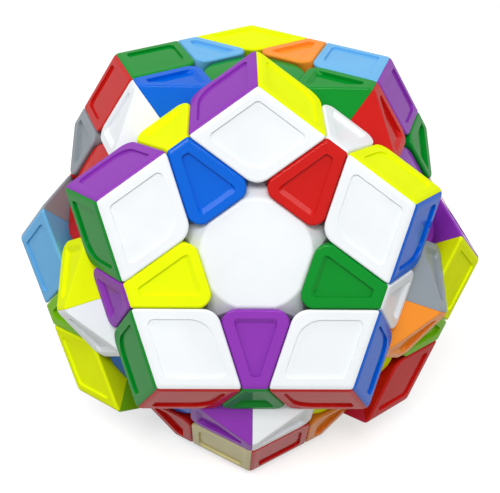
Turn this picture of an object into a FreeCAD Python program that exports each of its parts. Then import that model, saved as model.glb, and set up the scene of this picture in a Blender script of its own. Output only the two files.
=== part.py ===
import FreeCAD, Part
import math
import os

# Twisty dodecahedron puzzle: twelve turning faces on one core, each face carrying five corner
# pieces and five edge pieces. Every outer piece is a black foot with glossy coloured shells on it.
# Three faces that do not touch each other are shown part-way through a turn.

V = FreeCAD.Vector
ROT = FreeCAD.Rotation
PL = FreeCAD.Placement
ZAX = V(0, 0, 1)

doc = FreeCAD.newDocument("puzzle")
sheet = doc.addObject("Spreadsheet::Sheet", "sizes")

# Driving dimensions in millimetres and degrees; the derived ones follow from them.
SIZES = [
    ("edge_len", "33 mm", "edge of the dodecahedron"),
    ("face_dist", "=edge_len * 1.1135164", "centre to face plane"),
    ("face_inr", "=edge_len * 0.6881910", "inscribed radius of one face"),
    ("corner_side", "14.65 mm", "side of a corner facet"),
    ("band", "=corner_side * 0.9510565", "width of the outer band of a face"),
    ("cut_dist", "=face_dist - band * 0.8944272", "centre to cut plane"),
    ("gap", "0.05 mm", "half of the running gap"),
    ("seam", "0.02 mm", "half of the seam between shells"),
    ("wall", "1.7 mm", "wall of a corner shell"),
    ("edge_wall", "1.5 mm", "wall of an edge shell"),
    ("rim", "2.0 mm", "flat rim round a corner panel"),
    ("edge_rim", "1.8 mm", "flat rim round an edge panel"),
    ("tip_rim", "2.3 mm", "rim at the narrow end of an edge panel"),
    ("panel_deep", "0.4 mm", "depth of a corner panel"),
    ("ridge", "1.75 mm", "rounding where two colours meet"),
    ("lip", "0.4 mm", "rounding round the other sides of a facet"),
    ("corner_round", "3.7 mm", "upright rounding of a corner beside the cap"),
    ("corner_bay", "4.5 mm", "rounding of a corner panel beside the cap"),
    ("corner_nook", "0.9 mm", "rounding of a corner panel elsewhere"),
    ("edge_round", "1.8 mm", "upright rounding of an edge piece"),
    ("edge_bay", "0.6 mm", "rounding of an edge panel at its wide end"),
    ("edge_nook", "0.45 mm", "rounding of an edge panel at its narrow end"),
    ("edge_deep", "0.65 mm", "depth of an edge panel"),
    ("foot_ball", "27.0 mm", "sphere between foot and neck"),
    ("neck_ball", "=cut_dist / cos(41deg)", "sphere where cone meets cut plane"),
    ("core_ball", "14.0 mm", "sphere round the core"),
    ("cap_drop", "0.4 mm", "centre cap below the face plane"),
    ("cap_wall", "1.6 mm", "wall of a centre cap"),
    ("cap_play", "0.12 mm", "room round a centre cap"),
    ("cap_flat", "9.05 mm", "radius of the nearly flat top of a cap"),
    ("cap_round", "2.4 mm", "upright rounding of a cap's corners"),
    ("cap_lip", "0.9 mm", "rounding round the top of a cap"),
    ("post_rad", "3.2 mm", "radius of a screw post"),
    ("post_base", "5.9 mm", "bottom of the hole in a post"),
    ("screw_rad", "1.4 mm", "radius of a screw shank"),
    ("head_rad", "2.8 mm", "radius of a screw head"),
    ("spring_floor", "21.0 mm", "floor of the spring well"),
    ("head_floor", "31.4 mm", "underside of the screw head"),
]
for row, (alias, value, note) in enumerate(SIZES, start=1):
    sheet.set("A%d" % row, alias)
    sheet.set("B%d" % row, str(value))
    sheet.set("C%d" % row, note)
    sheet.setAlias("B%d" % row, alias)
doc.recompute()

NECK_DEG, FOOT_DEG = 41.0, 48.0
STALK_DEG, STALK_END_DEG = 39.8, 49.5  # an edge's stalk stands just inside its collar and sole
SPAN = 90.0
TIP, REACH = 6.0, 60.0  # a cone tool runs between these distances from its apex
SIN_T, COS_T = 0.8944272, 0.4472136


def expr(text):
    """Put the sheet name in front of every alias used in an expression."""
    for alias in sorted((s[0] for s in SIZES), key=len, reverse=True):
        text = text.replace("{" + alias + "}", "sizes." + alias)
    return text


def normal(azimuth):
    """Normal of the neighbouring face that lies at this azimuth."""
    a = math.radians(azimuth)
    return V(SIN_T * math.cos(a), SIN_T * math.sin(a), COS_T)


def flat(azimuth):
    """Direction in the face plane."""
    a = math.radians(azimuth)
    return V(math.cos(a), math.sin(a), 0)


def along(obj, direction, rotation, start, side=None):
    """Stand a primitive on the plane x.direction = start, side by expression."""
    obj.Placement = PL(V(0, 0, 0), rotation)
    off = V(0, 0, 0)
    if side:
        off = rotation.multVec(V(-side / 2.0, -side / 2.0, 0))
    for axis, n, o in zip("xyz", direction, off):
        obj.setExpression("Placement.Base." + axis, expr("(%s) * %.9f + %.6f mm" % (start, n, o)))


def slab(name, direction, low, high):
    """Everything between the planes x.direction = low and x.direction = high."""
    box = doc.addObject("Part::Box", name)
    box.Length = box.Width = SPAN
    box.setExpression("Height", expr("(%s) - (%s)" % (high, low)))
    along(box, direction, ROT(ZAX, direction), low, SPAN)
    return box


def ball(name, radius, centre=None):
    obj = doc.addObject("Part::Sphere", name)
    obj.setExpression("Radius", expr(radius))
    if centre:
        obj.setExpression("Placement.Base.z", expr(centre))
    return obj


def cone(name, direction, half_angle, shift):
    """Cone round a face axis, less its tip; shift moves it outwards to leave the running gap."""
    obj = doc.addObject("Part::Cone", name)
    flare = math.tan(math.radians(half_angle))
    obj.Radius1, obj.Radius2, obj.Height = TIP * flare, REACH * flare, REACH - TIP
    start = "{gap} * %.6f + %.1f mm" % (shift / math.sin(math.radians(half_angle)), TIP)
    along(obj, direction, ROT(ZAX, direction), start)
    return obj


def rod(name, radius, low, high):
    obj = doc.addObject("Part::Cylinder", name)
    obj.setExpression("Radius", expr(radius))
    obj.setExpression("Height", expr("(%s) - (%s)" % (high, low)))
    obj.setExpression("Placement.Base.z", expr(low))
    return obj


def common(name, *objs):
    obj = doc.addObject("Part::MultiCommon", name)
    obj.Shapes = list(objs)
    return obj


def fuse(name, *objs):
    obj = doc.addObject("Part::MultiFuse", name)
    obj.Shapes = list(objs)
    return obj


def join(name, *objs):
    """Fuse the shapes one after another; the last step carries the name."""
    whole = objs[0]
    for i, obj in enumerate(objs[1:-1]):
        whole = fuse("%s_step%d" % (name, i), whole, obj)
    return fuse(name, whole, objs[-1])


def cut(name, base, tool):
    obj = doc.addObject("Part::Cut", name)
    obj.Base, obj.Tool = base, tool
    return obj


def hollow_ball(name, outer, inner):
    return cut(name, ball(name + "_out", outer), ball(name + "_in", inner))


def carve(name, base, *tools):
    """Cut the tools away one after another; the last step carries the name."""
    for i, tool in enumerate(tools[:-1]):
        base = cut("%s_step%d" % (name, i), base, tool)
    return cut(name, base, tools[-1])


def fillet(name, base, picks):
    """Round the edges chosen by each (test, radius) pair; a test sees the edge's end points."""
    doc.recompute()
    obj = doc.addObject("Part::Fillet", name)
    obj.Base = base
    chosen = []
    for i, edge in enumerate(base.Shape.Edges, start=1):
        a, b = edge.firstVertex().Point, edge.lastVertex().Point
        m = edge.valueAt((edge.FirstParameter + edge.LastParameter) / 2.0)
        for test, radius in picks:
            if test(a, b, m):
                chosen.append((i, radius, radius))
                break
    obj.Edges = chosen
    return obj


def on(direction, distance):
    """Test that a whole edge lies in the plane x.direction = distance."""
    return lambda a, b, m: all(abs(p.dot(direction) - distance) < 1e-3 for p in (a, b, m))


def both(*tests):
    return lambda a, b, m: all(t(a, b, m) for t in tests)


def size(alias):
    return float(sheet.getPropertyByName(alias))


SLACK = 0.6  # share of the running gap kept round a neck where it passes its shells
FACE, CUT, GAP = size("face_dist"), size("cut_dist"), size("gap")
LOW, HIGH = "{cut_dist} + {gap}", "{face_dist}"
UNDER = "{cut_dist} - {gap}"

# Corner pieces. The block of a corner is bounded by its three faces and the three cut planes;
# its neck and foot lie inside the cones of the same three faces.
NI, NJ, NK = ZAX, normal(36), normal(-36)


def corner_block(tag, inset):
    low, high = LOW + " + (%s)" % inset, HIGH + " - (%s)" % inset
    return common("corner_" + tag, *[slab("corner_%s_%d" % (tag, i), n, low, high)
                                     for i, n in enumerate((NI, NJ, NK))])


def corner_cones(tag, angle, shift):
    return [cone("corner_%s_%d" % (tag, i), n, angle, shift) for i, n in enumerate((NI, NJ, NK))]


NECK_BALLS = ("{neck_ball} + 3 mm", "{foot_ball} - 2 mm")
SOLE_BALLS = ("{foot_ball} - {gap}", "{core_ball} + {gap}")
neck = common("corner_neck", hollow_ball("corner_neck_ball", *NECK_BALLS),
              *corner_cones("neck", NECK_DEG, 1))
sole = common("corner_sole", hollow_ball("corner_sole_ball", *SOLE_BALLS),
              *corner_cones("sole", FOOT_DEG, 1))
corner_foot = join("corner_foot", sole, neck, corner_block("inner", "{wall}"))

round_in = [(both(on(p, CUT + GAP), on(q, CUT + GAP)), size("corner_round"))
            for p, q in ((NI, NJ), (NJ, NK), (NI, NK))]
outer = fillet("corner_outer_soft", corner_block("outer", "0 mm"), round_in)
ridges = [(both(on(p, FACE), on(q, FACE)), size("ridge"))
          for p, q in ((NI, NJ), (NJ, NK), (NI, NK))]
rims = [(on(n, FACE), size("lip")) for n in (NI, NJ, NK)]
outer = fillet("corner_outer_soft2", outer, ridges + rims)

hollow = fuse("corner_hollow", corner_block("seat", "{wall} - {seam}"),
              common("corner_throat", ball("corner_throat_ball", "{neck_ball} + 3 mm"),
                     *corner_cones("throat", NECK_DEG, SLACK)))
husk = cut("corner_husk", outer, hollow)


def wedge(tag, other):
    """Half-space of the shell on the top face against the shell on another face."""
    return slab(tag, (NI - other).normalize(), "{seam}", "60 mm")


INNER = "{face_inr} - {band} + {rim}"
OUTER = "{face_inr} - {rim}"
panel = common("corner_panel", slab("corner_panel_a", flat(36), INNER, OUTER),
               slab("corner_panel_b", flat(-36), INNER, OUTER),
               slab("corner_panel_z", ZAX, "{face_dist} - {panel_deep}", "{face_dist} + 1 mm"))
inr, band = size("face_inr"), size("band")
near = inr - band + size("rim")
far = inr - size("rim")
panel = fillet("corner_panel_soft", panel,
               [(both(on(flat(36), near), on(flat(-36), near)), size("corner_bay")),
                (both(on(flat(36), far), on(flat(-36), near)), size("corner_nook")),
                (both(on(flat(-36), far), on(flat(36), near)), size("corner_nook")),
                (both(on(flat(36), far), on(flat(-36), far)), size("corner_nook"))])
corner_shell = cut("corner_shell", common("corner_third", husk, wedge("corner_wedge_j", NJ),
                                          wedge("corner_wedge_k", NK)), panel)

# Edge pieces. Two faces share an edge piece; the faces past its two ends keep clear of it.
EJ, EP, EQ = normal(0), normal(72), normal(-72)


def edge_block(tag, inset):
    low, high = LOW + " + (%s)" % inset, HIGH + " - (%s)" % inset
    sides = [slab("edge_%s_i" % tag, ZAX, low, high), slab("edge_%s_j" % tag, EJ, low, high)]
    sides += [slab("edge_%s_%s" % (tag, s), n, "-50 mm", UNDER + " - (%s)" % inset)
              for s, n in (("p", EP), ("q", EQ))]
    return common("edge_" + tag, *sides)


def edge_cones(tag, angle, shift, pair):
    return [cone("edge_%s_%d" % (tag, i), n, angle, shift) for i, n in enumerate(pair)]


ends_neck = edge_cones("end_neck", NECK_DEG, -1, (EP, EQ))
ends_foot = edge_cones("end_foot", FOOT_DEG, -1, (EP, EQ))
ends_low = [common("edge_low_%d" % i, ball("edge_low_ball_%d" % i, "{neck_ball} + {gap}"), end)
            for i, end in enumerate(ends_neck)]
collar = common("edge_collar_raw", hollow_ball("edge_collar_ball", "{neck_ball}", "{foot_ball} + {gap}"),
                *edge_cones("collar", NECK_DEG, 1, (ZAX, EJ)))
collar = carve("edge_collar", collar, *ends_neck)
stalk = common("edge_stalk_raw", hollow_ball("edge_stalk_ball", "{neck_ball} - 1 mm", NECK_BALLS[1]),
               *edge_cones("stalk", STALK_DEG, 1, (ZAX, EJ)))
stalk = carve("edge_stalk", stalk, *edge_cones("end_stalk", STALK_END_DEG, -1, (EP, EQ)))
sole = common("edge_sole_raw", hollow_ball("edge_sole_ball", *SOLE_BALLS),
              *edge_cones("sole", FOOT_DEG, 1, (ZAX, EJ)))
sole = carve("edge_sole", sole, *ends_foot)
edge_foot = join("edge_foot", sole, stalk, collar, edge_block("inner", "{edge_wall}"))

round_edge = [(both(on(p, CUT + GAP), on(q, CUT - GAP)), size("edge_round"))
              for p in (ZAX, EJ) for q in (EP, EQ)]
outer = fillet("edge_outer_soft", edge_block("outer", "0 mm"), round_edge)
outer = fillet("edge_outer_soft2", outer, [(both(on(ZAX, FACE), on(EJ, FACE)), size("ridge"))]
               + [(on(n, FACE), size("lip")) for n in (ZAX, EJ)])
outer = carve("edge_outer_low", outer, *ends_low)
seat = common("edge_throat", ball("edge_throat_ball", "{neck_ball} + {seam}"),
              *edge_cones("throat", NECK_DEG, SLACK, (ZAX, EJ)))
husk = cut("edge_husk", outer, fuse("edge_hollow", edge_block("seat", "{edge_wall} - {seam}"), seat))
half = common("edge_half", husk, slab("edge_wedge", (ZAX - EJ).normalize(), "{seam}", "60 mm"))

RUN, RISE = 0.8, 0.6  # the wall at the wide end slopes this way, in shares of its length
slope = V(RISE, 0, RUN)
SIDE = "{face_inr} - {band} - {edge_rim}"
panel = common(
    "edge_panel",
    slab("edge_panel_p", flat(72), "-50 mm", SIDE),
    slab("edge_panel_q", flat(-72), "-50 mm", SIDE),
    slab("edge_panel_x", flat(0), "0 mm", "{face_inr} - {tip_rim}"),
    slab("edge_panel_s", slope,
         "({face_inr} - {band} + {edge_rim}) * %s + {face_dist} * %s" % (RISE, RUN), "90 mm"),
    slab("edge_panel_z", ZAX, "{face_dist} - {edge_deep}", "{face_dist} + 0.4 mm"))
side_at = inr - band - size("edge_rim")
slope_at = (inr - band + size("edge_rim")) * RISE + FACE * RUN
tip_at = inr - size("tip_rim")
panel = fillet("edge_panel_soft", panel,
               [(both(on(flat(s), side_at), on(slope, slope_at)), size("edge_bay"))
                for s in (72, -72)]
               + [(both(on(flat(s), side_at), on(flat(0), tip_at)), size("edge_nook"))
                  for s in (72, -72)])
edge_shell = cut("edge_shell", half, panel)

# Centre pieces: a base on a spring-loaded screw and a glossy cap with rounded corners.
AROUND = [normal(72 * k) for k in range(5)]


def centre_block(tag, inset, low, high):
    sides = [slab("centre_%s_%d" % (tag, k), n, "-50 mm", UNDER + " - (%s)" % inset)
             for k, n in enumerate(AROUND)]
    return common("centre_" + tag, slab("centre_%s_z" % tag, ZAX, low, high), *sides)


CAP_TOP = "{face_dist} - {cap_drop}"
hub = centre_block("hub", "{cap_wall}", "27 mm", CAP_TOP + " - {cap_wall}")
flange = common("centre_flange", ball("centre_flange_ball", "{neck_ball} - {gap}"),
                rod("centre_flange_rod", "17 mm", "20 mm", "40 mm"))
ring = [common("centre_ring_%d" % k, ball("centre_ring_ball_%d" % k, "{neck_ball} + {gap}"),
               cone("centre_ring_cone_%d" % k, n, NECK_DEG, -1)) for k, n in enumerate(AROUND)]
plate = carve("centre_plate", fuse("centre_solid", hub, flange),
              ball("centre_foot_ball", "{foot_ball} + {gap}"), *ring)
stem = doc.addObject("Part::Cone", "centre_stem")
STEM_LOW, STEM_HIGH, FLARE = 14.3, 28.5, math.tan(math.radians(14.8))
stem.Radius1, stem.Radius2, stem.Height = STEM_LOW * FLARE, STEM_HIGH * FLARE, STEM_HIGH - STEM_LOW
stem.Placement = PL(V(0, 0, STEM_LOW), ROT())
well = fuse("centre_well", rod("centre_bore", "{screw_rad} + 0.1 mm", "10 mm", "40 mm"),
            rod("centre_spring_well", "{head_rad} + 0.3 mm", "{spring_floor}", "40 mm"))
centre_base = cut("centre_base", fuse("centre_base_raw", plate, stem), well)

dome = ball("cap_dome", "120 mm", CAP_TOP + " - 120 mm")
dome.Placement = PL(dome.Placement.Base, ROT(V(1, 0, 0), 90))
cap = centre_block("lid", "{cap_play}", "31 mm", CAP_TOP + " + 1 mm")
cap_side = CUT - GAP - size("cap_play")
cap = fillet("cap_soft", cap, [(both(on(n, cap_side), on(AROUND[(k + 1) % 5], cap_side)),
                                size("cap_round")) for k, n in enumerate(AROUND)])
SLOPE = 0.9  # the cap's corners fall away outside its flat top
fall = doc.addObject("Part::Cone", "cap_fall")
fall.Radius1, fall.Radius2, fall.Height = size("cap_flat") + 7 * SLOPE, size("cap_flat") - SLOPE, 8
fall.setExpression("Placement.Base.z", expr(CAP_TOP + " - 7 mm"))
cap = common("cap_domed", cap, dome, fall)
cap_top = FACE - 0.95
cap = fillet("cap_soft2", cap, [(lambda a, b, m: min(a.z, b.z, m.z) > cap_top, size("cap_lip"))])
centre_cap = cut("centre_cap", cap, centre_block("lid_seat", "{cap_wall} - {seam}", "27 mm",
                                                 CAP_TOP + " - {cap_wall} + {seam}"))

# Screw with a cross recess, its spring, and the core they are driven into.
head = rod("screw_head", "{head_rad}", "{head_floor}", "{head_floor} + 1.8 mm")
shank = rod("screw_shank", "{screw_rad}", "6 mm", "{head_floor} + 0.5 mm")
arms = []
for name, across in (("screw_slot_x", (3.4, 0.8)), ("screw_slot_y", (0.8, 3.4))):
    arm = doc.addObject("Part::Box", name)
    arm.Length, arm.Width, arm.Height = across[0], across[1], 2
    arm.Placement = PL(V(-across[0] / 2, -across[1] / 2, 0), ROT())
    arm.setExpression("Placement.Base.z", expr("{head_floor} + 0.8 mm"))
    arms.append(arm)
screw = cut("screw", fuse("screw_raw", head, shank), fuse("screw_slots", *arms))

COIL, WIRE = 2.3, 0.3  # radii of the spring and of its wire
spine = doc.addObject("Part::Helix", "spring_spine")
spine.Radius, spine.Pitch, spine.Height = COIL, 1.45, 9.6
wire = doc.addObject("Part::Circle", "spring_wire")
wire.Radius = WIRE
wire.Placement = PL(V(COIL, 0, 0), ROT(V(1, 0, 0), 90))
spring = doc.addObject("Part::Sweep", "spring")
spring.Sections, spring.Spine = [wire], (spine, ["Edge1"])
spring.Solid, spring.Frenet = True, True
spring.Placement = PL(V(0, 0, size("spring_floor") + WIRE + 0.1), ROT())

# Placement of the twelve faces, first round the front face and then as the puzzle stands.
BETWEEN = 63.434949  # angle between the axes of two neighbouring faces
UPPER, LOWER = (90, 18, 306, 234, 162), (270, 342, 54, 126, 198)
TURN = {"front": 36.0, "rear_left": 32.0, "rear_right": 48.0}
faces = {"front": ROT(ZAX, 90), "back": ROT(ZAX, 90) * ROT(V(0, 1, 0), 180)}
for az in UPPER:
    faces["near_%d" % az] = ROT(ZAX, az) * ROT(V(0, 1, 0), BETWEEN) * ROT(ZAX, 180)
for az in LOWER:
    faces["far_%d" % az] = ROT(ZAX, az) * ROT(V(0, 1, 0), 180 - BETWEEN)
faces["rear_left"] = faces.pop("far_198")
faces["rear_right"] = faces.pop("far_342")
NORMALS = {f: r.multVec(ZAX) for f, r in faces.items()}

# The stance: three poking corners touch the table, the front face looks towards -Y.
LEAN = ROT(V(1, 0, 0), 90 - 26.565051)
STAND = ROT(V(0.0252793, -0.1167, -0.99285), V(0, 0, -1)) * LEAN
ahead = STAND.multVec(ZAX)
STAND = ROT(ZAX, -90 - math.degrees(math.atan2(ahead.y, ahead.x))) * STAND

# Colours of every corner and edge, in the order of the faces its slot lies between.
CORNERS = {
    ("front", "near_162", "near_90"): ("white", "green", "purple"),
    ("front", "near_234", "near_162"): ("white", "red", "green"),
    ("front", "near_90", "near_18"): ("white", "purple", "yellow"),
    ("front", "near_18", "near_306"): ("white", "yellow", "blue"),
    ("front", "near_306", "near_234"): ("white", "blue", "red"),
    ("near_162", "far_126", "near_90"): ("red", "beige", "green"),
    ("near_162", "near_234", "rear_left"): ("grey", "sky", "beige"),
    ("near_90", "far_54", "near_18"): ("sky", "orange", "purple"),
    ("near_18", "rear_right", "near_306"): ("red", "blue", "pink"),
    ("near_18", "far_54", "rear_right"): ("yellow", "purple", "orange"),
    ("near_306", "far_270", "near_234"): ("red", "pink", "beige"),
    ("near_234", "far_270", "rear_left"): ("yellow", "lime", "blue"),
    ("near_90", "far_126", "far_54"): ("yellow", "orange", "lime"),
    ("near_162", "rear_left", "far_126"): ("beige", "sky", "green"),
    ("near_306", "rear_right", "far_270"): ("lime", "pink", "blue"),
    ("back", "far_270", "rear_right"): ("lime", "orange", "grey"),
    ("back", "rear_right", "far_54"): ("orange", "sky", "grey"),
    ("back", "rear_left", "far_270"): ("lime", "grey", "pink"),
    ("back", "far_126", "rear_left"): ("grey", "beige", "pink"),
    ("back", "far_54", "far_126"): ("purple", "green", "sky"),
}
EDGES = {
    ("front", "near_162"): ("yellow", "purple"),
    ("front", "near_90"): ("blue", "yellow"),
    ("front", "near_18"): ("red", "white"),
    ("front", "near_306"): ("green", "white"),
    ("front", "near_234"): ("purple", "green"),
    ("near_162", "near_90"): ("white", "blue"),
    ("near_162", "near_234"): ("yellow", "white"),
    ("near_90", "near_18"): ("green", "red"),
    ("near_18", "near_306"): ("grey", "orange"),
    ("near_306", "near_234"): ("white", "purple"),
    ("near_162", "rear_left"): ("red", "pink"),
    ("near_162", "far_126"): ("grey", "sky"),
    ("near_90", "far_126"): ("sky", "orange"),
    ("near_90", "far_54"): ("orange", "purple"),
    ("near_18", "rear_right"): ("lime", "orange"),
    ("near_18", "far_54"): ("green", "beige"),
    ("near_306", "rear_right"): ("yellow", "lime"),
    ("near_306", "far_270"): ("orange", "yellow"),
    ("near_234", "far_270"): ("red", "blue"),
    ("near_234", "rear_left"): ("lime", "blue"),
    ("rear_right", "far_54"): ("grey", "pink"),
    ("far_270", "rear_left"): ("blue", "pink"),
    ("back", "rear_right"): ("purple", "sky"),
    ("back", "far_270"): ("pink", "lime"),
    ("back", "rear_left"): ("sky", "green"),
    ("back", "far_126"): ("pink", "beige"),
    ("back", "far_54"): ("beige", "red"),
    ("rear_right", "far_270"): ("lime", "grey"),
    ("rear_left", "far_126"): ("beige", "grey"),
    ("far_126", "far_54"): ("sky", "beige"),
}
CENTRES = {
    "front": "white", "back": "grey", "near_90": "green", "near_18": "purple",
    "near_306": "yellow", "near_234": "blue", "near_162": "red", "far_270": "lime",
    "far_54": "sky", "far_126": "beige", "rear_right": "orange", "rear_left": "pink",
}


def layer_of(slot):
    """The turned layer that holds this slot, or the body."""
    return next((f for f in slot if f in TURN), "body")


def placed(slot, face, towards):
    """Placement of a prototype on a face, pointing towards a direction of the unturned puzzle."""
    local = faces[face].inverted().multVec(towards)
    spin = ROT(ZAX, math.degrees(math.atan2(local.y, local.x)))
    layer = layer_of(slot)
    turn = ROT(NORMALS[layer], TURN[layer]) if layer in TURN else ROT()
    return PL(V(0, 0, 0), STAND * turn * faces[face] * spin)


nodes = {}


def put(node, proto, placement):
    link = doc.addObject("App::Link", "%s_%d" % (node, len(nodes.get(node, [])) + 1))
    link.LinkedObject = proto
    link.Placement = placement
    nodes.setdefault(node, []).append(link)


core = doc.addObject("Part::MultiFuse", "core_solid")
posts = []
for face in faces:
    post = rod("post_" + face, "{post_rad}", "0 mm", "{core_ball} - 0.1 mm")
    post.Placement = PL(V(0, 0, 0), STAND * faces[face])
    posts.append(post)
core.Shapes = [ball("core_middle", "10 mm")] + posts
bores = []
for face in faces:
    bore = rod("bore_" + face, "{screw_rad} + {seam}", "{post_base}", "{core_ball} + 1 mm")
    n = STAND.multVec(NORMALS[face])
    along(bore, n, STAND * faces[face], "{post_base}")
    bores.append(bore)
nodes["core"] = [carve("core_bored", core, *bores)]

for face, colour in CENTRES.items():
    slot = (face,)
    layer = layer_of(slot)
    at = placed(slot, face, NORMALS[face] + faces[face].multVec(V(1, 0, 0)))
    put(layer + "_base" if layer != "body" else "body_bases", centre_base, at)
    put(layer + "_cap" if layer != "body" else "cap_" + colour, centre_cap, at)
    put("screws", screw, PL(V(0, 0, 0), STAND * faces[face]))
    put("springs", spring, PL(V(0, 0, 0), STAND * faces[face]) * spring.Placement)

for table, shell, feet, foot in ((CORNERS, corner_shell, "corner_feet", corner_foot),
                                 (EDGES, edge_shell, "edge_feet", edge_foot)):
    for slot, colours in table.items():
        layer = layer_of(slot)
        middle = sum((NORMALS[f] for f in slot), V(0, 0, 0))
        put("body_" + feet if layer == "body" else layer + "_feet", foot,
            placed(slot, slot[0], middle))
        for face, colour in zip(slot, colours):
            put(layer + "_shells_" + colour, shell, placed(slot, face, middle))

groups = []
for label, members in nodes.items():
    group = doc.addObject("Part::Compound", "node_" + label)
    group.Links = members
    group.Label = label
    group.Placement = PL(V(0, 0, 0), ROT())
    groups.append(group)

doc.recompute()
for obj in doc.Objects:
    if obj.State and "Up-to-date" not in obj.State:
        raise RuntimeError("%s is %s" % (obj.Name, obj.State))
    if obj.isDerivedFrom("Part::Feature") and (obj.Shape.isNull() or not obj.Shape.isValid()):
        raise RuntimeError("%s has no valid shape" % obj.Name)

os.makedirs("parts", exist_ok=True)
for group in groups:
    group.Shape.exportStep("parts/%s.step" % group.Label)
    print(group.Label, len(group.Shape.Solids), round(group.Shape.Volume, 1))
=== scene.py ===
import bpy
from mathutils import Matrix, Vector


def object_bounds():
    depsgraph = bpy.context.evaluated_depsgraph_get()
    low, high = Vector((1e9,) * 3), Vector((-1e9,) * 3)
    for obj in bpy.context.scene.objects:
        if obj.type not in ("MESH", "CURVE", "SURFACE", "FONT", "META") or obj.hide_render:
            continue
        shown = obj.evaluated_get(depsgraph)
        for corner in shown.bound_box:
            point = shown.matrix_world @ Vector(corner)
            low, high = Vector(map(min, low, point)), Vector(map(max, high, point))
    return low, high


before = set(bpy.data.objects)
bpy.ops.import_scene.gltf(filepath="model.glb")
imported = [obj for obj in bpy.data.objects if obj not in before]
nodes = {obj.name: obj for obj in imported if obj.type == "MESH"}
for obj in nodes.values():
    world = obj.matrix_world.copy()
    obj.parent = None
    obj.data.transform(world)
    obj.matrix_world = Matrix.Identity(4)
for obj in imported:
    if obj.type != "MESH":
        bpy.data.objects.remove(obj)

cad_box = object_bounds()


# ---------------------------------------------------------------------------------------------
# Camera. A short telephoto a hand's reach away, a little above the middle of the front layer,
# so that the near facets look larger than the ones behind.
MM = 0.001
PUZZLE_EDGE = 33 * MM
EYE_DISTANCE_IN_EDGES = 5.8955
towards_eye = Vector((-0.02591, -0.91734, 0.39727)).normalized()
view_top = Vector((0.01940, 0.39686, 0.91767))
view_right = view_top.cross(towards_eye).normalized()
view_top = towards_eye.cross(view_right)
camera_data = bpy.data.cameras.new("camera")
camera_data.sensor_width = 36.0
camera_data.lens = 68.55
camera_data.clip_start = 0.01
camera_data.shift_x, camera_data.shift_y = -0.0011, -0.0100
camera = bpy.data.objects.new("camera", camera_data)
camera.matrix_world = Matrix.Translation(
    towards_eye * EYE_DISTANCE_IN_EDGES * PUZZLE_EDGE) @ Matrix(
    (view_right, view_top, towards_eye)).transposed().to_4x4()
bpy.context.scene.collection.objects.link(camera)
bpy.context.scene.camera = camera
bpy.context.scene.view_settings.view_transform = "Standard"


# ---------------------------------------------------------------------------------------------
# Table top and white room. A pale laminate sheet, matt from its textured press plate, which
# takes the puzzle's shadow; the white room round it is what the gloss of the plastic mirrors.
def linear(hex_colour):
    """sRGB hex to linear RGBA."""
    out = []
    for i in (0, 2, 4):
        c = int(hex_colour[i:i + 2], 16) / 255.0
        out.append(c / 12.92 if c <= 0.04045 else ((c + 0.055) / 1.055) ** 2.4)
    return (*out, 1.0)


def add(tree, kind, links=(), settings=(), **inputs):
    """Add a node; inputs are socket values, links are (input socket, output socket) pairs."""
    node = tree.nodes.new(kind)
    for name, value in settings:
        setattr(node, name, value)
    for name, value in inputs.items():
        node.inputs[name.replace("_", " ")].default_value = value
    for socket, source in links:
        tree.links.new(node.inputs[socket], source)
    return node


def empty_material(name):
    """A new material and its node tree, with nothing in it yet."""
    material = bpy.data.materials.new(name)
    material.use_nodes = True
    material.node_tree.nodes.clear()
    return material, material.node_tree


def seen(tree):
    """1 where a surface is looked at, mirrored or seen through, 0 where it only gives light."""
    rays = add(tree, "ShaderNodeLightPath")
    share = rays.outputs["Is Camera Ray"]
    for kind in ("Is Glossy Ray", "Is Transmission Ray"):
        share = add(tree, "ShaderNodeMath", [(0, share), (1, rays.outputs[kind])],
                    [("operation", "MAXIMUM")]).outputs[0]
    return share


WHITE = (1, 1, 1, 1)
FLOOR_HALF_WIDTH = 3.0
FLOOR_GLOW, ROOM_LIGHT = 0.6, 0.47
floor_height = cad_box[0][2]
floor_mesh = bpy.data.meshes.new("table_top")
floor_mesh.from_pydata([(x * FLOOR_HALF_WIDTH, y * FLOOR_HALF_WIDTH, floor_height)
                        for x, y in ((-1, -1), (1, -1), (1, 1), (-1, 1))],
                       [], [(0, 1, 2, 3)])
floor = bpy.data.objects.new("table_top", floor_mesh)
bpy.context.scene.collection.objects.link(floor)
floor_material, tree = empty_material("matt white laminate")
laminate = add(tree, "ShaderNodeBsdfDiffuse", Color=linear("c4c4c2"), Roughness=1.0)
glow = add(tree, "ShaderNodeEmission", Color=WHITE, Strength=FLOOR_GLOW)
brightened = add(tree, "ShaderNodeAddShader", [(0, laminate.outputs[0]), (1, glow.outputs[0])])
mixed = add(tree, "ShaderNodeMixShader", [(0, seen(tree)), (1, laminate.outputs[0]),
                                          (2, brightened.outputs[0])])
add(tree, "ShaderNodeOutputMaterial", [("Surface", mixed.outputs[0])])
floor_mesh.materials.append(floor_material)

world = bpy.data.worlds.new("white room")
bpy.context.scene.world = world
world.use_nodes = True
tree = world.node_tree
tree.nodes.clear()
room = add(tree, "ShaderNodeBackground", Color=WHITE, Strength=ROOM_LIGHT)
white = add(tree, "ShaderNodeBackground", Color=WHITE, Strength=1.0)
mixed = add(tree, "ShaderNodeMixShader", [(0, seen(tree)), (1, room.outputs[0]),
                                          (2, white.outputs[0])])
add(tree, "ShaderNodeOutputWorld", [("Surface", mixed.outputs[0])])


# ---------------------------------------------------------------------------------------------
# Lamps. One broad softbox in front, above the eye, and a weak strip light high on each side,
# all aimed at the middle of the puzzle. Places and sizes are in metres.
def softbox(name, place, width, height, watts):
    """A rectangular lamp at a place, aimed at the middle of the puzzle."""
    light = bpy.data.lights.new(name, "AREA")
    light.shape = "RECTANGLE"
    light.size, light.size_y = width, height
    light.energy = watts
    lamp = bpy.data.objects.new(name, light)
    lamp.location = place
    lamp.rotation_euler = Vector(place).to_track_quat("Z", "Y").to_euler()
    bpy.context.scene.collection.objects.link(lamp)


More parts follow.
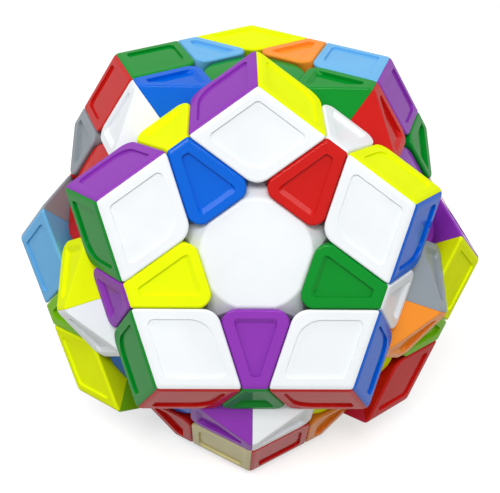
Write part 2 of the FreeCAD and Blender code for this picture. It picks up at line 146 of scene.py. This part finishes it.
softbox("front softbox", (-0.06, -0.52, 0.48), width=0.44, height=0.22, watts=3.05)
softbox("left strip light", (-0.32, -0.01, 0.45), width=0.15, height=0.16, watts=0.40)
softbox("right strip light", (0.32, -0.01, 0.45), width=0.15, height=0.16, watts=0.34)


# ---------------------------------------------------------------------------------------------
# Shells and caps. Glossy ABS, injection-moulded in its own colour and ejected from polished
# steel, with faint flow marks in the colour and handling marks in the gloss. The polish is a
# clear coat of part strength, and the yellow shows the least of it.
FLOW_MARK, HANDLING_MARK, WAVE = 14 * MM, 5 * MM, 2.4 * MM
WAVE_HEIGHT = 0.03 * MM
FLOW_DARKENING = 0.94
ROUGH_MIN, ROUGH_MAX = 0.10, 0.18
ABS_IOR = 1.54
COAT_TO_BODY_SHINE = 25


def moulded_abs(name, hex_colour, shine):
    """Glossy moulded ABS: pigment flow marks, an uneven gloss and a very faint waviness."""
    material, tree = empty_material("glossy moulded ABS, " + name)
    place = add(tree, "ShaderNodeTexCoord").outputs["Object"]
    flow = add(tree, "ShaderNodeTexNoise", [("Vector", place)], Scale=1 / FLOW_MARK, Detail=3.0,
               Distortion=0.6)
    red, green, blue, _ = linear(hex_colour)
    tint = add(tree, "ShaderNodeValToRGB", [("Fac", flow.outputs["Fac"])])
    tint.color_ramp.elements[0].position = 0.3
    tint.color_ramp.elements[0].color = (
        red * FLOW_DARKENING, green * FLOW_DARKENING, blue * FLOW_DARKENING, 1)
    tint.color_ramp.elements[1].position = 0.7
    tint.color_ramp.elements[1].color = (red, green, blue, 1)
    marks = add(tree, "ShaderNodeTexNoise", [("Vector", place)], Scale=1 / HANDLING_MARK,
                Detail=4.0)
    polish = add(tree, "ShaderNodeMapRange", [("Value", marks.outputs["Fac"])],
                 From_Min=0.35, From_Max=0.75, To_Min=ROUGH_MIN, To_Max=ROUGH_MAX)
    waves = add(tree, "ShaderNodeTexNoise", [("Vector", place)], Scale=1 / WAVE, Detail=2.0)
    skin = add(tree, "ShaderNodeBump", [("Height", waves.outputs["Fac"])], Strength=0.12,
               Distance=WAVE_HEIGHT)
    plastic = add(tree, "ShaderNodeBsdfPrincipled",
                  [("Base Color", tint.outputs["Color"]), ("Roughness", polish.outputs[0]),
                   ("Normal", skin.outputs[0])], IOR=ABS_IOR,
                  Specular_IOR_Level=shine / COAT_TO_BODY_SHINE,
                  Coat_Weight=shine, Coat_Roughness=0.07, Coat_IOR=ABS_IOR)
    add(tree, "ShaderNodeOutputMaterial", [("Surface", plastic.outputs[0])])
    return material


SHELL_COLOURS = {
    "white": "f0f4f7", "yellow": "edfb10", "blue": "0264d8", "red": "cc1a16",
    "green": "048e2a", "purple": "9038b4", "sky": "6cb6ea", "orange": "fb9630",
    "grey": "949ca3", "lime": "80c212", "pink": "d83055", "beige": "ddd49c",
}
POLISH, YELLOW_POLISH = 0.2, 0.03
LAYER_CAPS = {"front_cap": "white", "rear_left_cap": "pink", "rear_right_cap": "orange"}
abs_of = {name: moulded_abs(name, code, YELLOW_POLISH if name == "yellow" else POLISH)
          for name, code in SHELL_COLOURS.items()}


def dress(node, material):
    """Give a CAD node one material in its own slot."""
    mesh = nodes[node].data
    mesh.materials.clear()
    mesh.materials.append(material)


for node in nodes:
    colour = LAYER_CAPS.get(node, node.rsplit("_", 1)[-1])
    if colour in abs_of:
        dress(node, abs_of[colour])


# ---------------------------------------------------------------------------------------------
# Feet, centre bases and core. The hidden running parts under the shells: slippery acetal with
# the matt skin of a spark-eroded mould, seen only down the gaps. The real grain is finer than
# the one here, which is drawn as coarse as it needs to show.
ACETAL_GRAIN = 0.35 * MM
GRAIN_HEIGHT = 0.02 * MM
GRAIN_DARKENING = 0.8


def moulded_acetal(name, hex_colour):
    """Matt moulded acetal: spark-eroded grain, soft low gloss."""
    material, tree = empty_material("matt moulded acetal, " + name)
    place = add(tree, "ShaderNodeTexCoord").outputs["Object"]
    grain = add(tree, "ShaderNodeTexNoise", [("Vector", place)], Scale=1 / ACETAL_GRAIN,
                Detail=3.0)
    red, green, blue, _ = linear(hex_colour)
    tint = add(tree, "ShaderNodeValToRGB", [("Fac", grain.outputs["Fac"])])
    tint.color_ramp.elements[0].color = (
        red * GRAIN_DARKENING, green * GRAIN_DARKENING, blue * GRAIN_DARKENING, 1)
    tint.color_ramp.elements[1].color = (red, green, blue, 1)
    skin = add(tree, "ShaderNodeBump", [("Height", grain.outputs["Fac"])], Strength=0.25,
               Distance=GRAIN_HEIGHT)
    plastic = add(tree, "ShaderNodeBsdfPrincipled",
                  [("Base Color", tint.outputs["Color"]), ("Normal", skin.outputs[0])],
                  Roughness=0.42, IOR=1.48)
    add(tree, "ShaderNodeOutputMaterial", [("Surface", plastic.outputs[0])])
    return material


black_acetal = moulded_acetal("black", "1b1c1f")
white_acetal = moulded_acetal("white", "e2e4e4")
for node in nodes:
    if node.endswith(("_feet", "_base", "_bases")):
        dress(node, black_acetal)
dress("core", white_acetal)


# ---------------------------------------------------------------------------------------------
# Screws and springs. Zinc-plated screws turned from steel wire, and springs coiled from drawn
# music wire, hidden under the caps. Drawing leaves the gloss uneven, here in patches far
# coarser than the real marks, as coarse as they need to show.
GLOSS_PATCH = 0.4 * MM


def drawn_steel(name, hex_colour, roughness):
    """Bright steel with an uneven gloss."""
    material, tree = empty_material(name)
    place = add(tree, "ShaderNodeTexCoord").outputs["Object"]
    patches = add(tree, "ShaderNodeTexNoise", [("Vector", place)], Scale=1 / GLOSS_PATCH,
                  Detail=2.0)
    rough = add(tree, "ShaderNodeMapRange", [("Value", patches.outputs["Fac"])],
                To_Min=roughness - 0.06, To_Max=roughness + 0.08)
    steel = add(tree, "ShaderNodeBsdfPrincipled", [("Roughness", rough.outputs[0])],
                Base_Color=linear(hex_colour), Metallic=1.0)
    add(tree, "ShaderNodeOutputMaterial", [("Surface", steel.outputs[0])])
    return material


dress("screws", drawn_steel("zinc-plated steel", "c4c6c8", 0.30))
dress("springs", drawn_steel("drawn music wire", "b4b4b2", 0.24))
